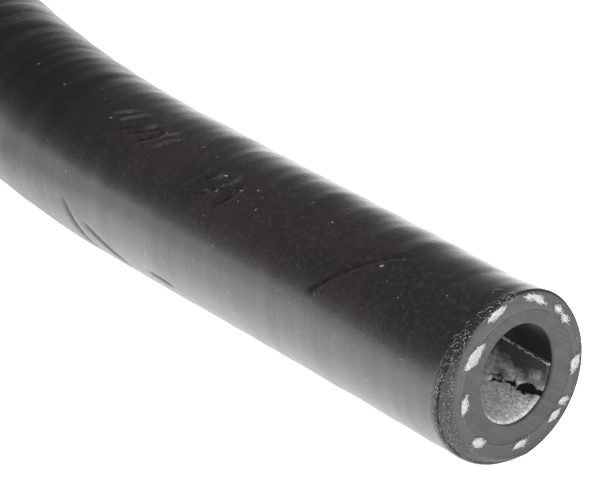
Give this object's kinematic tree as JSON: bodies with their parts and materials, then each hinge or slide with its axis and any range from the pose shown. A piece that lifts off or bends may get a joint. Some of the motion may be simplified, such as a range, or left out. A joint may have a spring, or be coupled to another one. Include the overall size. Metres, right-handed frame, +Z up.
{
  "type": "rubber gas tubing",
  "caption": "Thick-walled rubber gas tubing with yarn reinforcement in its wall and plain cut ends, laid flat with its spare length in a coil.",
  "frame": {"origin": "centre of the bore at the near mouth, half the hose's thickness above the surface that it lies on", "axes": "-Y points out of the near mouth, +Z up, and the coil lies flat in the XY plane"},
  "size_m": [0.1779, 0.2109, 0.014],
  "materials": {
    "lining_rubber": "matte, knife-cut face",
    "yarn": "white textile yarn",
    "cover_rubber": "satin black, slightly dusty"
  },
  "bodies": {
    "root": {"lining": "lining_rubber", "yarns": "yarn", "cover": "cover_rubber"}
  },
  "joints": []
}
